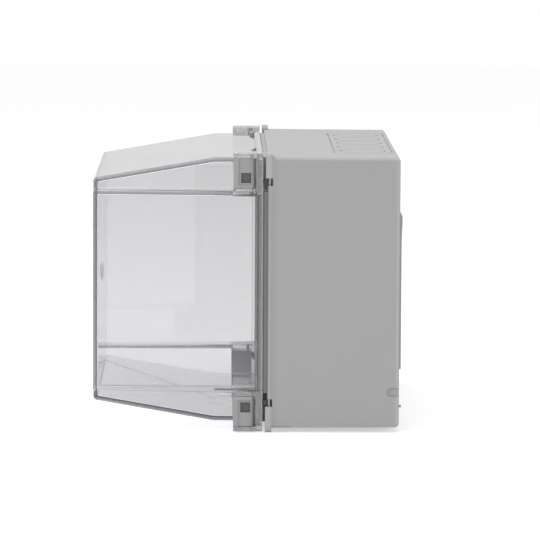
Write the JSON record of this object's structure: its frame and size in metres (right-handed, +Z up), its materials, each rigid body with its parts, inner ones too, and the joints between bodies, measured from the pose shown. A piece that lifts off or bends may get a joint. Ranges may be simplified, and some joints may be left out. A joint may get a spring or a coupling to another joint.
{
  "type": "hinged polycarbonate enclosure",
  "caption": "Wall-mounting electrical enclosure: grey moulded base, deep clear hood with sloped front and stepped corners, held by corner latches that also act as its hinge.",
  "frame": {"origin": "middle of the four wall fixing holes, on the mounting plane at the back", "axes": "+Y into the wall, so the hood faces -Y; +Z up; +X along the width, to the right of someone who faces the hood"},
  "size_m": [0.28, 0.2092, 0.19],
  "materials": {
    "base_grey": "fine moulded texture, light grey",
    "hood_clear": "clear polished polycarbonate",
    "seal": "foamed seal",
    "latch_grey": "moulded, slightly warmer grey than the base",
    "pin_steel": "drawn stainless rod",
    "plate_zinc": "zinc plated sheet",
    "screw_zinc": "zinc plated",
    "insert_brass": "turned brass"
  },
  "bodies": {
    "base": {"base": "base_grey", "mounting_plate": "plate_zinc", "keeper_pin_upper_right": "pin_steel", "keeper_pin_lower_right": "pin_steel", "keeper_pin_upper_left": "pin_steel", "keeper_pin_lower_left": "pin_steel", "plate_screw_1": "screw_zinc", "plate_screw_2": "screw_zinc", "plate_screw_3": "screw_zinc", "plate_screw_4": "screw_zinc", "boss_insert_1": "insert_brass", "boss_insert_2": "insert_brass", "boss_insert_3": "insert_brass", "boss_insert_4": "insert_brass"},
    "hood": {"hood": "hood_clear", "gasket": "seal", "latch_pin_upper_right": "pin_steel", "latch_pin_lower_right": "pin_steel", "latch_pin_upper_left": "pin_steel", "latch_pin_lower_left": "pin_steel"},
    "latch_upper_right": {"latch_upper_right": "latch_grey"},
    "latch_lower_right": {"latch_lower_right": "latch_grey"},
    "latch_upper_left": {"latch_upper_left": "latch_grey"},
    "latch_lower_left": {"latch_lower_left": "latch_grey"}
  },
  "joints": [
    {"name": "hood_hinge", "type": "hinge", "parent": "base", "child": "hood", "pos_m": [-0.136, -0.0896, 0], "axis": [0, 0, -1], "range_deg": [0, 110]},
    {"name": "latch_upper_right_pivot", "type": "hinge", "parent": "hood", "child": "latch_upper_right", "pos_m": [0.1352, -0.1019, 0], "axis": [0, 0, 1], "range_deg": [0, 25]},
    {"name": "latch_lower_right_pivot", "type": "hinge", "parent": "hood", "child": "latch_lower_right", "pos_m": [0.1352, -0.1019, 0], "axis": [0, 0, 1], "range_deg": [0, 25]},
    {"name": "latch_upper_left_pivot", "type": "hinge", "parent": "hood", "child": "latch_upper_left", "pos_m": [-0.1352, -0.1019, 0], "axis": [0, 0, -1], "range_deg": [0, 25]},
    {"name": "latch_lower_left_pivot", "type": "hinge", "parent": "hood", "child": "latch_lower_left", "pos_m": [-0.1352, -0.1019, 0], "axis": [0, 0, -1], "range_deg": [0, 25]}
  ]
}
